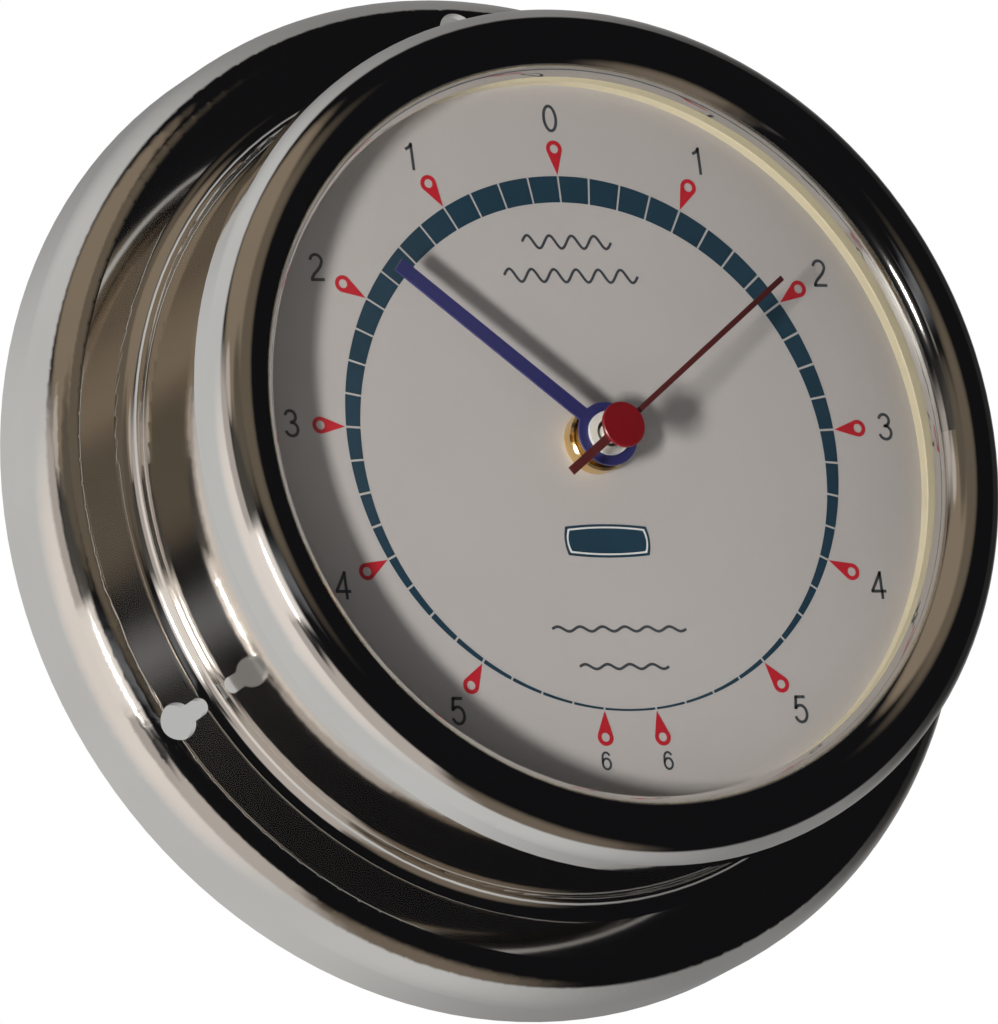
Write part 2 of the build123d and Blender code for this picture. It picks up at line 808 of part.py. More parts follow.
# Minute wheel with pinion, turning on the post of the housing tray
with BuildPart() as minute_wheel:
    add(
        spoked(
            minute_place, minute_wheel_level, wheel_thickness, minute_teeth, minute_module, minute_phase
        )
    )
    add(
        toothed(
            minute_place,
            minute_wheel_level + wheel_thickness,
            minute_pinion_level + pinion_thickness - minute_wheel_level - wheel_thickness,
            minute_pinion_teeth,
            tide_module,
            minute_pinion_phase,
        )
    )
    with BuildSketch(level(minute_wheel_level)):
        with Locations(minute_place):
            Circle(post_radius + running_fit)
    extrude(amount=housing_depth, mode=Mode.SUBTRACT)
minute_wheel.part.label = "minute_wheel"
export_step(minute_wheel.part, "parts/minute_wheel.step")

# Third wheel: wheel, pinion and arbor in one
arbor_start = plate_inner - pivot_depth + seat_gap
arbor_end = housing_inner + pivot_depth - seat_gap
with BuildPart() as third_wheel:
    add(spoked(third_place, third_wheel_level, wheel_thickness, third_teeth, third_module, third_phase))
    add(
        toothed(
            third_place,
            third_wheel_level + wheel_thickness,
            third_pinion_level + pinion_thickness - third_wheel_level - wheel_thickness,
            third_pinion_teeth,
            centre_module,
            third_pinion_phase,
        )
    )
    with BuildSketch(level(arbor_start)):
        with Locations(third_place):
            Circle(arbor_radius)
    extrude(amount=arbor_end - arbor_start)
third_wheel.part.label = "third_wheel"
export_step(third_wheel.part, "parts/third_wheel.step")

# Seconds wheel: wheel, pinion and the long arbor that carries the seconds hand
with BuildPart() as seconds_wheel:
    add(
        toothed(
            centre_place,
            seconds_wheel_level,
            wheel_thickness,
            seconds_teeth,
            seconds_module,
            seconds_phase,
        )
    )
    add(
        toothed(
            centre_place,
            seconds_wheel_level + wheel_thickness,
            seconds_pinion_level + pinion_thickness - seconds_wheel_level - wheel_thickness,
            seconds_pinion_teeth,
            third_module,
            seconds_pinion_phase,
        )
    )
    with BuildSketch(level(arbor_start)):
        Circle(seconds_arbor_radius)
    extrude(amount=seconds_hand_bottom - arbor_start)
seconds_wheel.part.label = "seconds_wheel"
export_step(seconds_wheel.part, "parts/seconds_wheel.step")

# Tube of the seconds hand, pressed on the seconds arbor
with BuildPart() as seconds_tube:
    with BuildSketch(level(tube_bottom)):
        Circle(seconds_tube_radius)
        Circle(seconds_arbor_radius + press_gap, mode=Mode.SUBTRACT)
    extrude(amount=seconds_hand_bottom - tube_bottom)
seconds_tube.part.label = "seconds_tube"
export_step(seconds_tube.part, "parts/seconds_tube.step")

# Seconds hand: flat hub and tail, needle bent down to stay under the glass
needle_plane = Plane(
    origin=(0, -seconds_hand_bottom, 0),
    x_dir=(sin(radians(seconds_hand_turn)), 0, cos(radians(seconds_hand_turn))),
    z_dir=(cos(radians(seconds_hand_turn)), 0, -sin(radians(seconds_hand_turn))),
)
bend_radius = seconds_hub_radius + seconds_bend_share * seconds_hand_length
glass_over_tip = dome_base + sqrt(inner_sphere**2 - seconds_hand_length**2)
tip_top = glass_over_tip - seconds_tip_gap - seconds_hand_bottom
with BuildPart() as seconds_hand:
    with BuildSketch(needle_plane):
        with BuildLine():
            Polyline(
                (0, 0),
                (bend_radius, 0),
                (seconds_hand_length, tip_top - seconds_hand_thickness),
                (seconds_hand_length, tip_top),
                (bend_radius, seconds_hand_thickness),
                (0, seconds_hand_thickness),
                close=True,
            )
        make_face()
    extrude(amount=seconds_hand_width / 2, both=True)
    with BuildSketch(level(seconds_hand_bottom)):
        Circle(seconds_hub_radius)
        with PolarLocations(0, 1, start_angle=90 - seconds_hand_turn):
            Rectangle(seconds_tail_length, seconds_tail_width, align=(Align.MAX, Align.CENTER))
    extrude(amount=seconds_hand_thickness)
seconds_hand.part.label = "seconds_hand"
export_step(seconds_hand.part, "parts/seconds_hand.step")

# Cap over the middle of the seconds hand
with BuildPart() as seconds_cap:
    with BuildSketch(level(seconds_hand_bottom + seconds_hand_thickness)):
        Circle(seconds_cap_radius)
    extrude(amount=seconds_cap_thickness)
    chamfer(
        seconds_cap.edges().filter_by(GeomType.CIRCLE).group_by(Axis.Y)[0],
        length=seconds_cap_thickness / 4,
    )
seconds_cap.part.label = "seconds_cap"
export_step(seconds_cap.part, "parts/seconds_cap.step")

# Intermediate wheel: wheel, pinion and arbor in one
with BuildPart() as intermediate_wheel:
    add(
        spoked(
            intermediate_place,
            intermediate_wheel_level,
            wheel_thickness,
            intermediate_teeth,
            rotor_module,
            intermediate_phase,
        )
    )
    add(
        toothed(
            intermediate_place,
            intermediate_wheel_level + wheel_thickness,
            intermediate_pinion_level + pinion_thickness - intermediate_wheel_level - wheel_thickness,
            intermediate_pinion_teeth,
            seconds_module,
            intermediate_pinion_phase,
        )
    )
    with BuildSketch(level(arbor_start)):
        with Locations(intermediate_place):
            Circle(arbor_radius)
    extrude(amount=arbor_end - arbor_start)
intermediate_wheel.part.label = "intermediate_wheel"
export_step(intermediate_wheel.part, "parts/intermediate_wheel.step")

# Rotor: magnet disc, pinion and arbor
with BuildPart() as rotor:
    with BuildSketch(level(rotor_level)):
        with Locations(rotor_place):
            Circle(rotor_radius)
    extrude(amount=rotor_height)
    add(
        toothed(
            rotor_place, rotor_pinion_level, pinion_thickness, rotor_teeth, rotor_module, rotor_phase
        )
    )
    with BuildSketch(level(arbor_start)):
        with Locations(rotor_place):
            Circle(arbor_radius)
    extrude(amount=arbor_end - arbor_start)
rotor.part.label = "rotor"
export_step(rotor.part, "parts/rotor.step")

# Stator: laminated plate round the rotor with two arms up to the coil core
stator_right = stator_length - stator_left
arm_height = coil_line + core_width - rotor_place[1]
with BuildPart() as stator:
    with BuildSketch(level(stator_level)):
        with Locations((-stator_left, rotor_place[1])):
            Rectangle(stator_length, stator_width, align=(Align.MIN, Align.CENTER))
            Rectangle(stator_arm_width, arm_height, align=(Align.MIN, Align.MIN))
        with Locations((stator_right, rotor_place[1])):
            Rectangle(stator_arm_width, arm_height, align=(Align.MAX, Align.MIN))
        with Locations(rotor_place):
            Circle(stator_hole_radius, mode=Mode.SUBTRACT)
    extrude(amount=stator_thickness)
stator.part.label = "stator"
export_step(stator.part, "parts/stator.step")

# Coil core: bar that closes the magnetic loop on the stator's arms
with BuildPart() as coil_core:
    with BuildSketch(level(core_level)):
        with Locations((-stator_left, coil_line)):
            Rectangle(stator_length, core_width, align=(Align.MIN, Align.CENTER))
    extrude(amount=core_thickness)
coil_core.part.label = "coil_core"
export_step(coil_core.part, "parts/coil_core.step")

# Coil: winding between two flanges, round the core
coil_middle = stator_right - stator_length / 2
core_middle = core_level + core_thickness / 2
coil_plane = Plane(
    origin=(coil_middle - coil_length / 2, -core_middle, coil_line),
    x_dir=(0, 0, 1),
    z_dir=(1, 0, 0),
)
with BuildPart() as coil:
    with BuildSketch(coil_plane):
        Circle(coil_radius)
    extrude(amount=coil_length)
    for start in (0, coil_length - coil_flange_thickness):
        with BuildSketch(coil_plane.offset(start)):
            Rectangle(coil_flange_size, coil_flange_size)
        extrude(amount=coil_flange_thickness)
    with BuildSketch(coil_plane):
        Rectangle(core_width + press_gap, core_thickness + press_gap)
    extrude(amount=coil_length, mode=Mode.SUBTRACT)
coil.part.label = "coil"
export_step(coil.part, "parts/coil.step")

# Circuit board on the inside of the rear plate
board_left = board_inset - housing_width / 2
board_middle = core_bottom + seat_gap + board_height / 2
with BuildPart() as circuit_board:
    with BuildSketch(level(plate_inner)):
        with Locations((board_left, board_middle)):
            Rectangle(board_width, board_height, align=(Align.MIN, Align.CENTER))
    extrude(amount=board_thickness)
circuit_board.part.label = "circuit_board"
export_step(circuit_board.part, "parts/circuit_board.step")

# Quartz can lying on the board
board_front = plate_inner + board_thickness
quartz_plane = Plane(
    origin=(board_left + board_width / 2, -board_front - quartz_radius, board_middle),
    x_dir=(1, 0, 0),
    z_dir=(0, 0, 1),
)
with BuildPart() as quartz_can:
    with BuildSketch(quartz_plane):
        Circle(quartz_radius)
    extrude(amount=quartz_length)
quartz_can.part.label = "quartz_can"
export_step(quartz_can.part, "parts/quartz_can.step")

# Battery: one cell lying in the bay, its button to the right
battery_start = -battery_length / 2
battery_plane = Plane(
    origin=(battery_start, -battery_level, battery_line),
    x_dir=(0, 0, 1),
    z_dir=(1, 0, 0),
)
with BuildPart() as battery:
    with BuildSketch(battery_plane):
        Circle(battery_radius)
    extrude(amount=battery_length - battery_cap_length)
    with BuildSketch(battery_plane):
        Circle(battery_cap_radius)
    extrude(amount=battery_length)
battery.part.label = "battery"
export_step(battery.part, "parts/battery.step")

# Contacts: a plate on each end wall of the bay with a bowed leaf that meets the cell
bay_side = bay_width / 2
leaf_root = bay_side - contact_thickness
leaf_tip = battery_length / 2 + press_gap


def contact(side):
    """Contact on the right (1) or left (-1) wall of the battery bay."""
    leaf_plane = Plane(
        origin=(0, -battery_level, battery_line), x_dir=(side, 0, 0), z_dir=(0, 0, 1)
    )
    half_leaf = contact_height / 2
    with BuildPart() as made:
        with BuildSketch(leaf_plane):
            with Locations((bay_side, 0)):
                Rectangle(contact_thickness, contact_height, align=(Align.MAX, Align.CENTER))
            with BuildLine():
                ThreePointArc((leaf_root, -half_leaf), (leaf_tip, 0), (leaf_root, half_leaf))
                Line((leaf_root, half_leaf), (leaf_root, half_leaf - contact_thickness))
                ThreePointArc(
                    (leaf_root, half_leaf - contact_thickness),
                    (leaf_tip + contact_thickness, 0),
                    (leaf_root, -half_leaf + contact_thickness),
                )
                Line((leaf_root, -half_leaf + contact_thickness), (leaf_root, -half_leaf))
            make_face()
        extrude(amount=contact_width / 2, both=True)
    return made.part


contact_plus = contact(1)
contact_plus.label = "contact_plus"
export_step(contact_plus, "parts/contact_plus.step")

contact_minus = contact(-1)
contact_minus.label = "contact_minus"
export_step(contact_minus, "parts/contact_minus.step")

# Setting arbor: pinion in mesh with the minute wheel, end standing out at the rear
with BuildPart() as setting_arbor:
    with BuildSketch(level(knob_level + knob_height / 2)):
        with Locations(setting_place):
            Circle(setting_arbor_radius)
    extrude(amount=arbor_end - knob_level - knob_height / 2)
    add(
        toothed(
            setting_place,
            minute_wheel_level - seat_gap,
            wheel_thickness + 2 * seat_gap,
            setting_teeth,
            minute_module,
            setting_phase,
        )
    )
setting_arbor.part.label = "setting_arbor"
export_step(setting_arbor.part, "parts/setting_arbor.step")

# Setting knob: fluted, pressed on the arbor behind the rear plate
with BuildPart() as setting_knob:
    with BuildSketch(level(knob_level)):
        with Locations(setting_place):
            Circle(knob_radius)
            with PolarLocations(knob_radius, knob_flutes):
                Circle(knob_flute_radius, mode=Mode.SUBTRACT)
    extrude(amount=knob_height)
    with BuildSketch(level(knob_level + knob_height / 2)):
        with Locations(setting_place):
            Circle(setting_arbor_radius + press_gap)
    extrude(amount=knob_height, mode=Mode.SUBTRACT)
setting_knob.part.label = "setting_knob"
export_step(setting_knob.part, "parts/setting_knob.step")
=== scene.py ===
import bmesh
import bpy
from math import atan2, cos, pi, radians, sin, sqrt
from mathutils import Matrix, Vector


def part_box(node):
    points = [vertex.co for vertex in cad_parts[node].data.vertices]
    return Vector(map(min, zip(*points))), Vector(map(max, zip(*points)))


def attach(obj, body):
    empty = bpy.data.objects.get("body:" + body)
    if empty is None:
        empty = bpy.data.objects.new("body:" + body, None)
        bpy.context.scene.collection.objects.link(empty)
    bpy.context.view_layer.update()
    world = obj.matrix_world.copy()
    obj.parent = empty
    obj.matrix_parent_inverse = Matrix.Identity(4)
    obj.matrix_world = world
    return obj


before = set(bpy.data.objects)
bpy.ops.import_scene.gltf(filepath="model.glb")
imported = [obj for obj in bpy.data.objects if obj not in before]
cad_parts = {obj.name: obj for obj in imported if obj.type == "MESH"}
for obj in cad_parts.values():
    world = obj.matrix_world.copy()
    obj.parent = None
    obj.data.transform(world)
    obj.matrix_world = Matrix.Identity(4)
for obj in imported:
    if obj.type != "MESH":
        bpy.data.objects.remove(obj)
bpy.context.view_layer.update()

# Everything is in metres: the dial faces -Y, 12 o'clock is +Z, and heights over the
# wall are distances along -Y
MM = 0.001
DIAL_FRONT = -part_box("dial")[0][1]
PRINT_LIFT = 0.03 * MM
PRINT_THICKNESS = 0.02 * MM

# Camera, fitted to the rings, keyholes and dial marks of the photograph
CAMERA_PLACE = Vector((-0.9510, -1.6908, -0.4868))
CAMERA_RIGHT = Vector((0.87878436, -0.45924986, -0.12972133))
CAMERA_UP = Vector((-0.0022503, -0.27581241, 0.96120885))
CAMERA_BACK = Vector((-0.47721378, -0.84440339, -0.24341308))
CAMERA_LENS = 489.23
SENSOR_WIDTH = 36.0
CAMERA_NEAR = 0.01
CAMERA_FAR = 50.0

# Dial print, sizes from the photograph
SCALE_OUTER = 39.4 * MM
SCALE_INNER = 37.3 * MM
SCALE_INNER_DROP = 1.8 * MM
SCALE_GAP = 0.34 * MM
HOURS_PER_TURN = 12.42
STEPS_PER_HOUR = 4
MARK_HOURS = 6
MARK_TIP = 39.6 * MM
MARK_LENGTH = 5.1 * MM
MARK_RADIUS = 1.25 * MM
MARK_HOLE = 0.66 * MM
NUMBER_RADIUS = 48.0 * MM
NUMBER_HEIGHT = 4.1 * MM
NUMBER_LINE = 0.46 * MM
SIX_LINE = 0.34 * MM
SIX_HEIGHT = 2.7 * MM
SIX_RADIUS = 46.9 * MM
PLATE_WIDTH = 13.0 * MM
PLATE_HEIGHT = 4.2 * MM
PLATE_BULGE = 0.35 * MM
PLATE_LINE = 0.35 * MM
PLATE_LINE_END = 0.595 * MM
PLATE_PLACE = -14.5 * MM
WAVE_LINE = 0.42 * MM
HIGH_WAVES = ((29.6 * MM, 14.4 * MM, 4), (24.6 * MM, 21.6 * MM, 6))
HIGH_WAVE_RISE = 1.9 * MM
LOW_WAVES = ((-27.4 * MM, 21.6 * MM, 6), (-32.9 * MM, 14.4 * MM, 4))
LOW_WAVE_RISE = 0.7 * MM

# Straight pieces that the print's curves are made of
SCALE_PIECES = 6
DROP_PIECES = 24
HOLE_PIECES = 20
WAVE_PIECES = 16
PLATE_PIECES = 12
DIGIT_BOW_PIECES = 14
DIGIT_OVAL_PIECES = 40

# Light: the direction of the window that the photograph's shadows point away from
LIGHT_DIRECTION = Vector((-0.811, -0.519, -0.262)).normalized()
LIGHT_DISTANCE = 1.6
LIGHT_LENGTH = 0.34
LIGHT_WIDTH = 0.11
LIGHT_POWER = 31.0
REAR_LIGHT_PLACE = Vector((0.5, 1.6, 0.9))
REAR_LIGHT_SIZE = 1.4
REAR_LIGHT_POWER = 26.0
LAMP_COLOUR = (1.0, 0.96, 0.92)
FILL_LEVEL = 0.13
FILL_COLOUR = (0.98, 0.98, 1.0, 1)
WHITE = (1, 1, 1, 1)
FLOOR_LEVEL = -0.75
FLOOR_SIZE = 8.0
FLOOR_GLOW = 0.84
FLOOR_COLOUR = (0.80, 0.80, 0.80)
WALL_MARGIN = 2 * MM
WALL_GAP = 0.5 * MM
# Even grey glow of the wall patch: painted shade of the clock over the pale wall
WALL_SHADE_GLOW = (0.45, 0.45, 0.44, 1)
WALL_CORNERS = 96
FLAG_ENDS = ((-37 * MM, 22 * MM), (17 * MM, -42 * MM))
FLAG_EDGE = 0.2
FLAG_GAP = 5 * MM
FLAG_REACH = 100 * MM

# Studio round the plating. Directions are a clockwise turn from 12 o'clock and an
# angle off the dial's axis, in degrees; after them a patch has the radius to which it
# is full, the one at which it ends, and its colour
ROOM = (0.006, 0.006, 0.007)
LIT_PATCHES = (
    (275, 50, 10, 18, (0.060, 0.055, 0.050)),
    (350, 22, 12, 26, (0.125, 0.102, 0.075)),
    (324, 56, 21, 32, (0.23, 0.184, 0.136)),
    (296, 62, 3, 9, (0.46, 0.415, 0.365)),
    (299, 34, 6, 15, (0.105, 0.088, 0.066)),
    (180, 76, 8, 30, (0.16, 0.13, 0.10)),
)
LOW_GLOW = (0.42, 0.385, 0.36)
LOW_GLOW_TURN = 247
LOW_GLOW_BACK = (-0.46, -0.34)
LOW_GLOW_SIDE = (0.5, 0.7)
# Bars of light that run front to back: clock direction, half width and soft edge as
# shares, the shares between which they begin, colour
WINDOW_BARS = (
    (215, 0.20, 0.30, 0.68, 0.78, (0.47, 0.43, 0.40)),
    (256, 0.0, 0.12, 0.13, 0.24, (0.13, 0.135, 0.145)),
    (254, 0.13, 0.20, 0.55, 0.70, (0.80, 0.75, 0.71)),
)
BACKDROP_NEAR = (0.545, 0.555, 0.56)
BACKDROP_FAR = (0.24, 0.24, 0.24)
BACKDROP_GLOW = (0.78, 0.725, 0.685)
BACKDROP_DARK = (0.02, 0.02, 0.02)
BACKDROP_TURN = 255
BACKDROP_SIDE = (-0.55, 0.25)
BACKDROP_EDGE = (-0.13, 0.02)
BACKDROP_GLOW_PLACE = (250, 92, 14, 52)
BACKDROP_DARK_PLACE = (75, 92, 22, 48)

# Finishes: noise scales in features per metre, relief in metres
PAINT_PATCHES = 60.0
PAINT_GLOSS_SPREAD = 0.15
PLATING_PATCHES = 45.0
PLATING_DARKEST = 0.95
PLATING_LINES = 900.0
PLATING_LINE_STRETCH = (1, 14, 1)
PLATING_LINE_GLOSS = 1.12
PLATING_SWELL = 38.0
GLASS_TINT = (0.985, 0.99, 0.985, 1)
GLASS_DUST = 220.0
GLASS_ROUGHNESS = (0.004, 0.02)
GLASS_LEAST_MIRROR = 0.035
GLASS_FALLOFF = 5.0
JACKET_BANDS = (
    (0.0, (0.55, 0.55, 0.56)),
    (0.02, (0.05, 0.11, 0.12)),
    (0.88, (0.62, 0.62, 0.60)),
    (0.965, (0.60, 0.60, 0.61)),
)
JACKET_GRAIN = 1800.0
JACKET_ROUGHNESS = (0.22, 0.32)
JACKET_METAL = 0.6
JACKET_RELIEF = 0.000001
TRACK_SCALE = 260.0
TRACK_COLOURS = ((0.02, 0.12, 0.05, 1), (0.03, 0.16, 0.07, 1), (0.05, 0.26, 0.11, 1))
TRACK_RELIEF = 0.00003
WIRE_SCALE = 1800.0
# Copper colour, dark brown towards the grooves between turns: painted shade
WIRE_AND_GROOVE_SHADE_COLOURS = ((0.1, (0.20, 0.07, 0.03)), (0.9, (0.62, 0.26, 0.11)))
WIRE_METAL = 0.8
WIRE_RELIEF = 0.00004
PLAIN_ROUGHNESS = 0.35


def node(tree, kind, **values):
    """A shader node with its plain settings and socket values."""
    made = tree.nodes.new(kind)
    for name, value in values.items():
        if name in made.inputs:
            made.inputs[name].default_value = value
        else:
            setattr(made, name, value)
    return made


def link(tree, source, output, target, socket):
    """Joins two nodes."""
    tree.links.new(source.outputs[output], target.inputs[socket])


def shade(name):
    """A new material with a bare Principled shader; returns material, tree, shader."""
    made = bpy.data.materials.new(name)
    made.use_nodes = True
    tree = made.node_tree
    shader = tree.nodes["Principled BSDF"]
    return made, tree, shader


def bare(name):
    """A new material without a shader; returns material, tree and its output node."""
    made, tree, shader = shade(name)
    tree.nodes.remove(shader)
    return made, tree, tree.nodes["Material Output"]


def blend(tree, share, output, first, second):
    """Blend of two shaders by a value, 0 for the first and 1 for the second."""
    made = node(tree, "ShaderNodeMixShader")
    link(tree, share, output, made, 0)
    link(tree, first, 0, made, 1)
    link(tree, second, 0, made, 2)
    return made


def noise(tree, scale, detail=3.0, roughness=0.5, stretch=(1, 1, 1)):
    """Noise over object coordinates, scale in features per metre."""
    place = node(tree, "ShaderNodeTexCoord")
    mapping = node(tree, "ShaderNodeMapping")
    mapping.inputs["Scale"].default_value = stretch
    made = node(tree, "ShaderNodeTexNoise", Scale=scale, Detail=detail, Roughness=roughness)
    link(tree, place, "Object", mapping, "Vector")
    link(tree, mapping, "Vector", made, "Vector")
    return made


def ramp(tree, source, output, stops):
    """Colour ramp over a value; stops are (place, colour)."""
    made = node(tree, "ShaderNodeValToRGB")
    elements = made.color_ramp.elements
    while len(elements) < len(stops):
        elements.new(0.5)
    for element, (place, colour) in zip(elements, stops):
        element.position = place
        element.color = (*colour, 1)
    link(tree, source, output, made, "Fac")
    return made


def spread(tree, source, output, low, high):
    """Maps a value from 0..1 to a range."""
    made = node(tree, "ShaderNodeMapRange")
    made.inputs["To Min"].default_value = low
    made.inputs["To Max"].default_value = high
    link(tree, source, output, made, "Value")
    return made


def bump(tree, shader, source, output, distance):
    """Bump from a value; distance in metres."""
    made = node(tree, "ShaderNodeBump", Strength=1.0, Distance=distance)
    link(tree, source, output, made, "Height")
    link(tree, made, "Normal", shader, "Normal")


def painted(name, colour, roughness, variation=0.06, grain=2500.0, relief=0.00001):
    """Paint, card or plastic: slight colour variation, fine grain in the gloss."""
    made, tree, shader = shade(name)
    patches = noise(tree, PAINT_PATCHES, detail=4.0)
    dark = tuple(c * (1 - variation) for c in colour)
    light = tuple(min(1, c * (1 + variation / 2)) for c in colour)
    tint = ramp(tree, patches, "Fac", ((0.3, dark), (0.7, light)))
    link(tree, tint, "Color", shader, "Base Color")
    fine = noise(tree, grain, detail=2.0)
    smooth = roughness * (1 - PAINT_GLOSS_SPREAD)
    rough = roughness * (1 + PAINT_GLOSS_SPREAD)
    gloss = spread(tree, fine, "Fac", smooth, rough)
    link(tree, gloss, "Result", shader, "Roughness")
    bump(tree, shader, fine, "Fac", relief)
    return made


def polished(name, colour, roughness, wave=0.00003):
    """Polished plated metal: faint waviness of spun sheet and fine hairline scratches."""
    made, tree, shader = shade(name)
    shader.inputs["Metallic"].default_value = 1.0
    patches = noise(tree, PLATING_PATCHES)
    dark = tuple(c * PLATING_DARKEST for c in colour)
    tint = ramp(tree, patches, "Fac", ((0.35, dark), (0.65, colour)))
    link(tree, tint, "Color", shader, "Base Color")
    lines = noise(
        tree, PLATING_LINES, detail=5.0, roughness=0.65, stretch=PLATING_LINE_STRETCH
    )
    gloss = spread(tree, lines, "Fac", roughness, roughness * PLATING_LINE_GLOSS)
    link(tree, gloss, "Result", shader, "Roughness")
    swell = noise(tree, PLATING_SWELL, detail=1.0, roughness=0.3)
    bump(tree, shader, swell, "Fac", wave)
    return made


def clear_glass(name):
    """Thin clear glass: see-through, reflecting more towards grazing views."""
    made, tree, output = bare(name)
    clear = node(tree, "ShaderNodeBsdfTransparent")
    clear.inputs["Color"].default_value = GLASS_TINT
    mirror = node(tree, "ShaderNodeBsdfGlossy")
    mirror.inputs["Color"].default_value = WHITE
    dust = noise(tree, GLASS_DUST, detail=6.0, roughness=0.7)
    smear = spread(tree, dust, "Fac", *GLASS_ROUGHNESS)
    link(tree, smear, "Result", mirror, "Roughness")
    slant = node(tree, "ShaderNodeLayerWeight", Blend=0.5)
    power = node(tree, "ShaderNodeMath", operation="POWER")
    power.inputs[1].default_value = GLASS_FALLOFF
    link(tree, slant, "Facing", power, 0)
    share = spread(tree, power, "Value", GLASS_LEAST_MIRROR, 1.0)
    mix = blend(tree, share, "Result", clear, mirror)
    link(tree, mix, "Shader", output, "Surface")
    return made


def cell_jacket(name):
    """Plain battery jacket: dark green-blue sleeve with a narrow pale band."""
    made, tree, shader = shade(name)
    place = node(tree, "ShaderNodeTexCoord")
    split = node(tree, "ShaderNodeSeparateXYZ")
    link(tree, place, "Object", split, "Vector")
    length = node(tree, "ShaderNodeMapRange")
    length.inputs["From Min"].default_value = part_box("battery")[0][0]
    length.inputs["From Max"].default_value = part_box("battery")[1][0]
    link(tree, split, "X", length, "Value")
    bands = ramp(tree, length, "Result", JACKET_BANDS)
    bands.color_ramp.interpolation = "CONSTANT"
    link(tree, bands, "Color", shader, "Base Color")
    fine = noise(tree, JACKET_GRAIN, detail=2.0)
    gloss = spread(tree, fine, "Fac", *JACKET_ROUGHNESS)
    link(tree, gloss, "Result", shader, "Roughness")
    shader.inputs["Metallic"].default_value = JACKET_METAL
    bump(tree, shader, fine, "Fac", JACKET_RELIEF)
    return made


def circuit(name):
    """Circuit board: green mask over copper tracks."""
    made, tree, shader = shade(name)
    place = node(tree, "ShaderNodeTexCoord")
    tracks = node(tree, "ShaderNodeTexBrick", Scale=TRACK_SCALE)
    for socket, colour in zip(("Color1", "Color2", "Mortar"), TRACK_COLOURS):
        tracks.inputs[socket].default_value = colour
    link(tree, place, "Object", tracks, "Vector")
    link(tree, tracks, "Color", shader, "Base Color")
    shader.inputs["Roughness"].default_value = PLAIN_ROUGHNESS
    bump(tree, shader, tracks, "Fac", TRACK_RELIEF)
    return made


def winding(name):
    """Enamelled copper wire, turn beside turn, with painted shade darker in the grooves."""
    made, tree, shader = shade(name)
    place = node(tree, "ShaderNodeTexCoord")
    turns = node(tree, "ShaderNodeTexWave", Scale=WIRE_SCALE, Distortion=0.6)
    turns.bands_direction = "X"
    link(tree, place, "Object", turns, "Vector")
    # copper with painted shade in the grooves, where the bump is lowest
    tint = ramp(tree, turns, "Fac", WIRE_AND_GROOVE_SHADE_COLOURS)
    link(tree, tint, "Color", shader, "Base Color")
    shader.inputs["Metallic"].default_value = WIRE_METAL
    shader.inputs["Roughness"].default_value = PLAIN_ROUGHNESS
    bump(tree, shader, turns, "Fac", WIRE_RELIEF)
    return made


CASE = polished("case_plating", (0.86, 0.83, 0.79), 0.06)
BEZEL = polished("bezel_plating", (0.87, 0.845, 0.81), 0.05, wave=0.00002)
GLASS = clear_glass("clear_glass")
RUBBER = painted("dark_rubber", (0.05, 0.035, 0.03), 0.6, grain=4000.0)
DIAL_WHITE = painted("dial_white", (0.53, 0.502, 0.500), 0.55, variation=0.02, relief=0.000002)
CREAM = painted("cream_ring", (0.80, 0.72, 0.52), 0.38, variation=0.03)
BRASS = polished("turned_brass", (0.86, 0.63, 0.30), 0.14, wave=0.000004)
BLUE = painted("blue_paint", (0.032, 0.033, 0.15), 0.35, variation=0.1)
RED = painted("red_paint", (0.22, 0.006, 0.011), 0.35, variation=0.1)
DARK_RED = painted("dark_red_paint", (0.11, 0.020, 0.021), 0.40, variation=0.1)
WHITE_PLASTIC = painted("white_plastic", (0.78, 0.78, 0.76), 0.40)
BLACK_PLASTIC = painted("black_plastic", (0.022, 0.022, 0.024), 0.45, relief=0.00004, grain=1500.0)
KNOB_PLASTIC = painted("knob_plastic", (0.35, 0.35, 0.34), 0.42)
STEEL = polished("bright_steel", (0.72, 0.71, 0.69), 0.22, wave=0.00001)
MAGNET = painted("magnet", (0.06, 0.06, 0.065), 0.5, variation=0.2)
COVER = painted("cover_sheet", (0.03, 0.03, 0.032), 0.5, relief=0.00003, grain=1200.0)
CELL = cell_jacket("cell_jacket")
BOARD = circuit("circuit_board_mask")
WIRE = winding("copper_wire")
PRINT_NAVY = painted("print_navy", (0.014, 0.050, 0.085), 0.5, variation=0.15)
PRINT_RED = painted("print_red", (0.55, 0.015, 0.030), 0.5, variation=0.1)
PRINT_GREY = painted("print_grey", (0.060, 0.066, 0.080), 0.5, variation=0.1)
PRINT_WHITE = painted("print_white", (0.80, 0.80, 0.80), 0.5, variation=0.03)

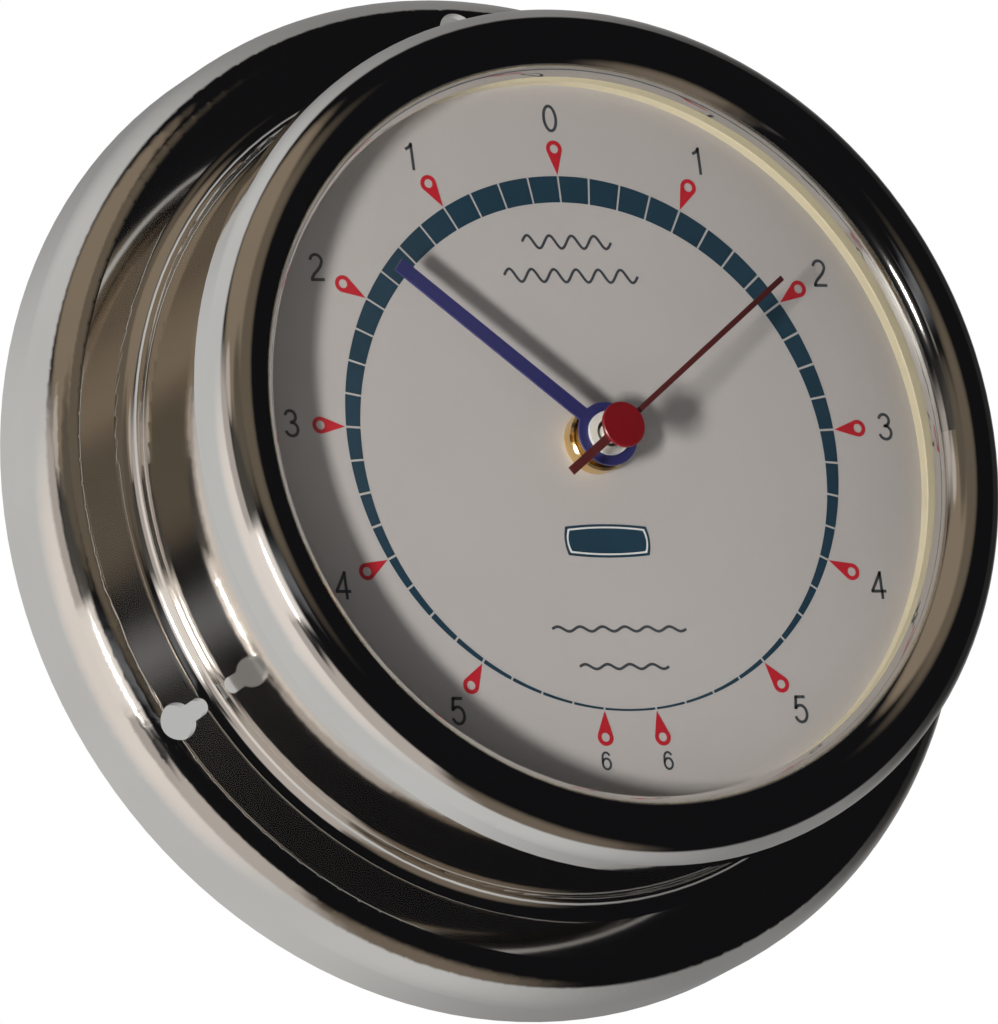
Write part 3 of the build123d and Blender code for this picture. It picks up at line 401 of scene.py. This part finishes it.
FINISHES = {
    "base_flange": CASE,
    "drum": CASE,
    "bezel_ring": BEZEL,
    "glass": GLASS,
    "glass_seal": RUBBER,
    "dial_surround": CREAM,
    "dial": DIAL_WHITE,
    "dial_seat_ring": CASE,
    "rubber_washer": RUBBER,
    "hub_nut": BRASS,
    "centre_bush": BRASS,
    "tide_hand": BLUE,
    "tide_collet": BRASS,
    "tide_wheel": WHITE_PLASTIC,
    "seconds_hand": DARK_RED,
    "seconds_tube": BRASS,
    "seconds_cap": RED,
    "housing_tray": BLACK_PLASTIC,
    "housing_plate": BLACK_PLASTIC,
    "minute_wheel": WHITE_PLASTIC,
    "centre_pinion": WHITE_PLASTIC,
    "centre_gear": WHITE_PLASTIC,
    "third_wheel": WHITE_PLASTIC,
    "seconds_wheel": WHITE_PLASTIC,
    "intermediate_wheel": WHITE_PLASTIC,
    "rotor": MAGNET,
    "stator": STEEL,
    "coil_core": STEEL,
    "coil": WIRE,
    "circuit_board": BOARD,
    "quartz_can": STEEL,
    "battery": CELL,
    "contact_plus": STEEL,
    "contact_minus": STEEL,
    "setting_arbor": WHITE_PLASTIC,
    "setting_knob": KNOB_PLASTIC,
    "rear_cover": COVER,
    "cover_lugs": CASE,
    "cover_screws": STEEL,
}


for name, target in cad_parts.items():
    target.data.materials.clear()
    target.data.materials.append(FINISHES[name])


def printed(name, rings, material, lift=PRINT_LIFT):
    """A thin print on the dial from closed outlines in dial coordinates; an outline
    that lies inside another one is a hole."""
    curve = bpy.data.curves.new(name, "CURVE")
    curve.dimensions = "2D"
    curve.fill_mode = "BOTH"
    curve.extrude = PRINT_THICKNESS
    for ring in rings:
        spline = curve.splines.new("POLY")
        spline.points.add(len(ring) - 1)
        for point, (x, z) in zip(spline.points, ring):
            point.co = (x, z, 0, 1)
        spline.use_cyclic_u = True
    made = bpy.data.objects.new(name, curve)
    bpy.context.collection.objects.link(made)
    made.matrix_world = Matrix.Translation((0, -DIAL_FRONT - lift, 0)) @ Matrix.Rotation(
        radians(90), 4, "X"
    )
    curve.materials.append(material)
    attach(made, "case")


def on_dial(turn, radius):
    """Dial coordinates of a clockwise turn from 12 o'clock and a radius."""
    return (radius * sin(turn), radius * cos(turn))


def scale_inner(turn):
    """Inner radius of the scale ring, whose inner circle lies below the centre."""
    return sqrt(SCALE_INNER**2 - (SCALE_INNER_DROP * sin(turn)) ** 2) - SCALE_INNER_DROP * cos(turn)


def scale_ring():
    """Crescent-shaped scale, cut into quarter hours, one long dash between the sixes."""
    step = 2 * pi / HOURS_PER_TURN / STEPS_PER_HOUR
    count = MARK_HOURS * STEPS_PER_HOUR
    rings = []
    bounds = [(k * step, (k + 1) * step) for k in range(-count, count)]
    bounds.append((count * step, 2 * pi - count * step))
    for start, end in bounds:
        gap = SCALE_GAP / SCALE_OUTER / 2
        length = end - start - 2 * gap
        turns = [start + gap + length * part / SCALE_PIECES for part in range(SCALE_PIECES + 1)]
        outer = [on_dial(turn, SCALE_OUTER) for turn in turns]
        inner = [on_dial(turn, scale_inner(turn)) for turn in reversed(turns)]
        rings.append(outer + inner)
    printed("dial_scale", rings, PRINT_NAVY)


def hour_marks():
    """Drop-shaped marks with a hole, their tips on the scale."""
    rings = []
    for hour in range(-MARK_HOURS, MARK_HOURS + 1):
        turn = 2 * pi * hour / HOURS_PER_TURN
        centre_radius = MARK_TIP + MARK_LENGTH - MARK_RADIUS
        reach = centre_radius - MARK_TIP
        open_angle = pi / 2 + atan2(MARK_RADIUS, sqrt(reach**2 - MARK_RADIUS**2))
        drop = [(0, MARK_TIP)]
        for part in range(DROP_PIECES + 1):
            angle = -open_angle + 2 * open_angle * part / DROP_PIECES
            drop.append((MARK_RADIUS * sin(angle), centre_radius + MARK_RADIUS * cos(angle)))
        hole = []
        for part in range(HOLE_PIECES):
            angle = 2 * pi * part / HOLE_PIECES
            hole.append((MARK_HOLE * sin(angle), centre_radius + MARK_HOLE * cos(angle)))
        for outline in (drop, hole):
            rings.append(
                [
                    (x * cos(turn) + z * sin(turn), z * cos(turn) - x * sin(turn))
                    for x, z in outline
                ]
            )
    printed("dial_hour_marks", rings, PRINT_RED)


def mesh_object(name, work, material):
    """A new object from a finished mesh in work, with its material."""
    mesh = bpy.data.meshes.new(name)
    work.to_mesh(mesh)
    work.free()
    mesh.materials.append(material)
    made = bpy.data.objects.new(name, mesh)
    bpy.context.collection.objects.link(made)
    return made


def lined(name, lines, width, material):
    """A thin print on the dial of lines of one width along rows of points."""
    work = bmesh.new()
    for points in lines:
        before = None
        for index, (x, z) in enumerate(points):
            ahead = points[min(index + 1, len(points) - 1)]
            behind = points[max(index - 1, 0)]
            run = sqrt((ahead[0] - behind[0]) ** 2 + (ahead[1] - behind[1]) ** 2)
            across = (ahead[1] - behind[1]) / run * width / 2
            rise = (ahead[0] - behind[0]) / run * width / 2
            pair = [
                work.verts.new((x - across, -DIAL_FRONT - PRINT_LIFT, z + rise)),
                work.verts.new((x + across, -DIAL_FRONT - PRINT_LIFT, z - rise)),
            ]
            if before:
                work.faces.new((before[0], before[1], pair[1], pair[0]))
            before = pair
    made = mesh_object(name, work, material)
    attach(made, "case")


def bow(middle, reach, start, end, steps=DIGIT_BOW_PIECES):
    """Points on an ellipse from one clockwise turn to another, in degrees from the top."""
    points = []
    for part in range(steps + 1):
        turn = radians(start + (end - start) * part / steps)
        points.append((middle[0] + reach[0] * sin(turn), middle[1] + reach[1] * cos(turn)))
    return points


def digit_lines(digit):
    """Centre lines of a plain digit, 1 high and about 0.56 wide, middle at 0, 0."""
    top = 0.45
    return {
        0: [bow((0, 0), (0.235, top), 0, 360, DIGIT_OVAL_PIECES)],
        1: [[(0.05, -0.5), (0.05, 0.5)], [(0.08, 0.46), (-0.04, 0.33), (-0.19, 0.26)]],
        2: [
            bow((0, 0.22), (0.22, 0.23), -82, 100)
            + [(0.15, 0.03), (0.02, -0.12), (-0.13, -0.26), (-0.22, -0.40), (-0.23, -0.48)],
            [(-0.27, -top), (0.26, -top)],
        ],
        3: [
            bow((-0.01, 0.24), (0.20, 0.21), -78, 185, 20),
            bow((-0.01, -0.21), (0.235, 0.24), -8, 258, 24),
        ],
        4: [
            [(0.11, -0.5), (0.11, 0.5)],
            [(0.13, 0.48), (-0.28, -0.23)],
            [(-0.31, -0.215), (0.29, -0.215)],
        ],
        5: [
            [(-0.17, top), (0.22, top)],
            [(-0.13, 0.49), (-0.20, 0.01)],
            bow((-0.01, -0.15), (0.235, 0.30), -52, 252, 24),
        ],
        6: [
            bow((0.01, 0.14), (0.23, 0.31), 62, -75) + [(-0.235, -0.15)],
            bow((0, -0.16), (0.235, 0.29), 0, 360, DIGIT_OVAL_PIECES),
        ],
    }[digit]


def numbers():
    """Upright digits round the dial, the same ones on both sides."""
    lines = []
    small_lines = []
    for hour in range(MARK_HOURS + 1):
        small = hour == MARK_HOURS
        height = SIX_HEIGHT if small else NUMBER_HEIGHT
        for side in (1,) if hour == 0 else (1, -1):
            turn = side * 2 * pi * hour / HOURS_PER_TURN
            x, z = on_dial(turn, SIX_RADIUS if small else NUMBER_RADIUS)
            for line in digit_lines(hour):
                placed = [(x + height * across, z + height * up) for across, up in line]
                (small_lines if small else lines).append(placed)
    lined("dial_numbers", lines, NUMBER_LINE, PRINT_GREY)
    lined("dial_small_numbers", small_lines, SIX_LINE, PRINT_GREY)


def wave_marks():
    """Plain wave lines, high ones above and low ones below, where the dial names high
    and low water."""
    lines = []
    for rows, rise in ((HIGH_WAVES, HIGH_WAVE_RISE), (LOW_WAVES, LOW_WAVE_RISE)):
        for level, width, periods in rows:
            points = []
            for part in range(WAVE_PIECES * periods + 1):
                share = part / (WAVE_PIECES * periods)
                height = level + rise / 2 * sin(2 * pi * periods * share)
                points.append(((share - 0.5) * width, height))
            lines.append(points)
    lined("dial_waves", lines, WAVE_LINE, PRINT_GREY)


def plate_outline(inset):
    """Outline of the bare plate: a rectangle with slightly bowed sides."""
    half_width = PLATE_WIDTH / 2 - inset
    half_height = PLATE_HEIGHT / 2 - inset
    points = []
    for side in range(4):
        length = half_width if side % 2 == 0 else half_height
        away = half_height if side % 2 == 0 else half_width
        for part in range(PLATE_PIECES):
            share = -1 + 2 * part / PLATE_PIECES
            run, out = share * length, away + PLATE_BULGE * (1 - share**2)
            place = ((run, out), (out, -run), (-run, -out), (-out, run))[side]
            points.append((place[0], place[1] + PLATE_PLACE))
    return points


scale_ring()
hour_marks()
numbers()
wave_marks()
printed("dial_plate", [plate_outline(0)], PRINT_NAVY)
printed(
    "dial_plate_line",
    [plate_outline(PLATE_LINE), plate_outline(PLATE_LINE_END)],
    PRINT_WHITE,
    PRINT_LIFT * 2,
)


def add_floor():
    """Pale floor well below the clock."""
    work = bmesh.new()
    half = FLOOR_SIZE / 2
    ends = ((-half, -half), (half, -half), (half, half), (-half, half))
    corners = [work.verts.new((x, y, FLOOR_LEVEL)) for x, y in ends]
    work.faces.new(corners)
    pale = painted("floor_pale", FLOOR_COLOUR, 0.8, variation=0.01, relief=0.0)
    tree = pale.node_tree
    path = node(tree, "ShaderNodeLightPath")
    seen = spread(tree, path, "Is Camera Ray", 0.0, FLOOR_GLOW)
    shader = tree.nodes["Principled BSDF"]
    shader.inputs["Emission Color"].default_value = WHITE
    link(tree, seen, "Result", shader, "Emission Strength")
    floor = mesh_object("floor", work, pale)
    floor.visible_glossy = False


def add_wall():
    """Pale patch of the wall that the clock hangs on, seen from the front alone, through
    the keyholes; it glows an even grey, painted shade of the clock over the wall."""
    work = bmesh.new()
    bmesh.ops.create_circle(
        work,
        cap_ends=True,
        segments=WALL_CORNERS,
        radius=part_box("base_flange")[1][0] - WALL_MARGIN,
        matrix=Matrix.Translation((0, WALL_GAP, 0)) @ Matrix.Rotation(radians(90), 4, "X"),
    )
    made, tree, output = bare("wall_shade_glow")
    side = node(tree, "ShaderNodeNewGeometry")
    # grey glow instead of lighting: painted shade of the clock over the wall
    pale = node(tree, "ShaderNodeEmission", Strength=1.0)
    pale.inputs["Color"].default_value = WALL_SHADE_GLOW
    clear = node(tree, "ShaderNodeBsdfTransparent")
    mix = blend(tree, side, "Backfacing", pale, clear)
    link(tree, mix, "Shader", output, "Surface")
    wall = mesh_object("wall", work, made)
    wall.visible_glossy = False
    wall.visible_diffuse = False
    wall.visible_shadow = False


def add_flag():
    """Dark studio card before the dial, seen in reflections alone, that keeps the window
    and its glow off the inner side of the bezel at the upper right."""
    work = bmesh.new()
    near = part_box("bezel_ring")[0][1] - FLAG_GAP
    far = near - FLAG_REACH
    corners = []
    for (x, z), y in zip(FLAG_ENDS + FLAG_ENDS[::-1], (near, near, far, far)):
        corners.append(work.verts.new((x, y, z)))
    work.faces.new(corners)
    made, tree, output = bare("flag_black")
    place = node(tree, "ShaderNodeTexCoord")
    split = node(tree, "ShaderNodeSeparateXYZ")
    link(tree, place, "Generated", split, "Vector")
    clear, full = (0, 0, 0), (1, 1, 1)
    ends = ((0, clear), (FLAG_EDGE, full), (1 - FLAG_EDGE, full), (1, clear))
    reach = ((0, clear), (FLAG_EDGE, full))
    solid = times(tree, ramp(tree, split, "X", ends), ramp(tree, split, "Y", reach))
    dark = node(tree, "ShaderNodeEmission", Strength=1.0)
    dark.inputs["Color"].default_value = (*ROOM, 1)
    mix = blend(tree, solid, "Value", node(tree, "ShaderNodeBsdfTransparent"), dark)
    link(tree, mix, "Shader", output, "Surface")
    flag = mesh_object("flag", work, made)
    flag.visible_camera = False
    flag.visible_diffuse = False
    flag.visible_transmission = False
    flag.visible_shadow = False


def add_lamp(name, place, length, width, power):
    """A rectangular lamp at a place, turned to the clock."""
    data = bpy.data.lights.new(name, "AREA")
    data.shape = "RECTANGLE"
    data.size = length
    data.size_y = width
    data.energy = power
    data.color = LAMP_COLOUR
    lamp = bpy.data.objects.new(name, data)
    bpy.context.collection.objects.link(lamp)
    back = place.normalized()
    across = Vector((0, -1, 0)).cross(back).normalized()
    up = back.cross(across).normalized()
    turn = Matrix((across, up, back)).transposed()
    lamp.matrix_world = Matrix.Translation(place) @ turn.to_4x4()
    return lamp


def add_lights():
    """Soft window-shaped lamp on the side that the shadows point away from, and a large
    one behind the clock that the plating doesn't show."""
    add_lamp("window", LIGHT_DIRECTION * LIGHT_DISTANCE, LIGHT_LENGTH, LIGHT_WIDTH, LIGHT_POWER)
    rear = add_lamp(
        "rear_light", REAR_LIGHT_PLACE, REAR_LIGHT_SIZE, REAR_LIGHT_SIZE, REAR_LIGHT_POWER
    )
    rear.visible_glossy = False


def along(tree, place, direction, low, high):
    """0 to 1 as the cosine to a direction goes from low to high."""
    dot = node(tree, "ShaderNodeVectorMath", operation="DOT_PRODUCT")
    dot.inputs[1].default_value = Vector(direction).normalized()
    link(tree, place, "Generated", dot, 0)
    made = node(tree, "ShaderNodeMapRange", interpolation_type="SMOOTHSTEP")
    made.inputs["From Min"].default_value = low
    made.inputs["From Max"].default_value = high
    link(tree, dot, "Value", made, "Value")
    return made


def disc(tree, place, direction, inner, outer):
    """1 within the inner angle of a direction, 0 beyond the outer one, in degrees."""
    return along(tree, place, direction, cos(radians(outer)), cos(radians(inner)))


def times(tree, first, second):
    """Product of two masks."""
    made = node(tree, "ShaderNodeMath", operation="MULTIPLY")
    link(tree, first, 0, made, 0)
    link(tree, second, 0, made, 1)
    return made


def over(tree, below, above, where):
    """Lays a colour over another one where a mask is 1."""
    made = node(tree, "ShaderNodeMixRGB")
    link(tree, where, 0, made, "Fac")
    link(tree, below, 0, made, "Color1")
    link(tree, above, 0, made, "Color2")
    return made


def plain(tree, colour):
    """One colour."""
    made = node(tree, "ShaderNodeRGB")
    made.outputs[0].default_value = (*colour, 1)
    return made


def toward(turn, polar):
    """Direction at a clockwise dial angle and an angle off the clock's axis."""
    around, off = radians(turn), radians(polar)
    return (sin(off) * sin(around), -cos(off), sin(off) * cos(around))


def add_world():
    """White behind the object, plain fill on it, and round the plating a studio: pale
    backdrop behind, a dark room in front with lit patches and bars of window light."""
    world = bpy.data.worlds.new("studio")
    bpy.context.scene.world = world
    world.use_nodes = True
    tree = world.node_tree
    tree.nodes.clear()
    output = node(tree, "ShaderNodeOutputWorld")
    place = node(tree, "ShaderNodeTexCoord")
    room = plain(tree, ROOM)
    for turn, polar, inner, outer, colour in LIT_PATCHES:
        where = disc(tree, place, toward(turn, polar), inner, outer)
        room = over(tree, room, plain(tree, colour), where)
    low = times(
        tree,
        along(tree, place, (0, 1, 0), *LOW_GLOW_BACK),
        along(tree, place, toward(LOW_GLOW_TURN, 90), *LOW_GLOW_SIDE),
    )
    room = over(tree, room, plain(tree, LOW_GLOW), low)
    for side, half, soft, start, full, colour in WINDOW_BARS:
        band = times(
            tree,
            along(tree, place, toward(side + 90, 90), -soft, -half),
            along(tree, place, toward(side - 90, 90), -soft, -half),
        )
        band = times(tree, band, along(tree, place, toward(side, 90), start, full))
        room = over(tree, room, plain(tree, colour), band)
    near = along(tree, place, toward(BACKDROP_TURN, 90), *BACKDROP_SIDE)
    bright = over(tree, plain(tree, BACKDROP_FAR), plain(tree, BACKDROP_NEAR), near)
    turn, polar, inner, outer = BACKDROP_GLOW_PLACE
    glow = disc(tree, place, toward(turn, polar), inner, outer)
    bright = over(tree, bright, plain(tree, BACKDROP_GLOW), glow)
    turn, polar, inner, outer = BACKDROP_DARK_PLACE
    dark = disc(tree, place, toward(turn, polar), inner, outer)
    bright = over(tree, bright, plain(tree, BACKDROP_DARK), dark)
    studio = over(tree, room, bright, along(tree, place, (0, 1, 0), *BACKDROP_EDGE))
    path = node(tree, "ShaderNodeLightPath")
    fill = node(tree, "ShaderNodeBackground", Strength=FILL_LEVEL)
    fill.inputs["Color"].default_value = FILL_COLOUR
    seen = node(tree, "ShaderNodeBackground", Strength=1.0)
    seen.inputs["Color"].default_value = WHITE
    mirrored = node(tree, "ShaderNodeBackground", Strength=1.0)
    link(tree, studio, 0, mirrored, "Color")
    glossy = blend(tree, path, "Is Glossy Ray", fill, mirrored)
    passing = node(tree, "ShaderNodeMath", operation="MAXIMUM")
    link(tree, path, "Is Camera Ray", passing, 0)
    link(tree, path, "Is Transmission Ray", passing, 1)
    final = blend(tree, passing, "Value", glossy, seen)
    link(tree, final, "Shader", output, "Surface")


def add_camera():
    """Camera at the photograph's place and angle."""
    data = bpy.data.cameras.new("camera")
    data.lens = CAMERA_LENS
    data.sensor_width = SENSOR_WIDTH
    data.sensor_fit = "AUTO"
    data.clip_start = CAMERA_NEAR
    data.clip_end = CAMERA_FAR
    camera = bpy.data.objects.new("camera", data)
    bpy.context.collection.objects.link(camera)
    turn = Matrix((CAMERA_RIGHT, CAMERA_UP, CAMERA_BACK)).transposed()
    camera.matrix_world = Matrix.Translation(CAMERA_PLACE) @ turn.to_4x4()
    bpy.context.scene.camera = camera


add_floor()
add_wall()
add_flag()
add_lights()
add_world()
add_camera()
bpy.context.scene.view_settings.view_transform = "Standard"
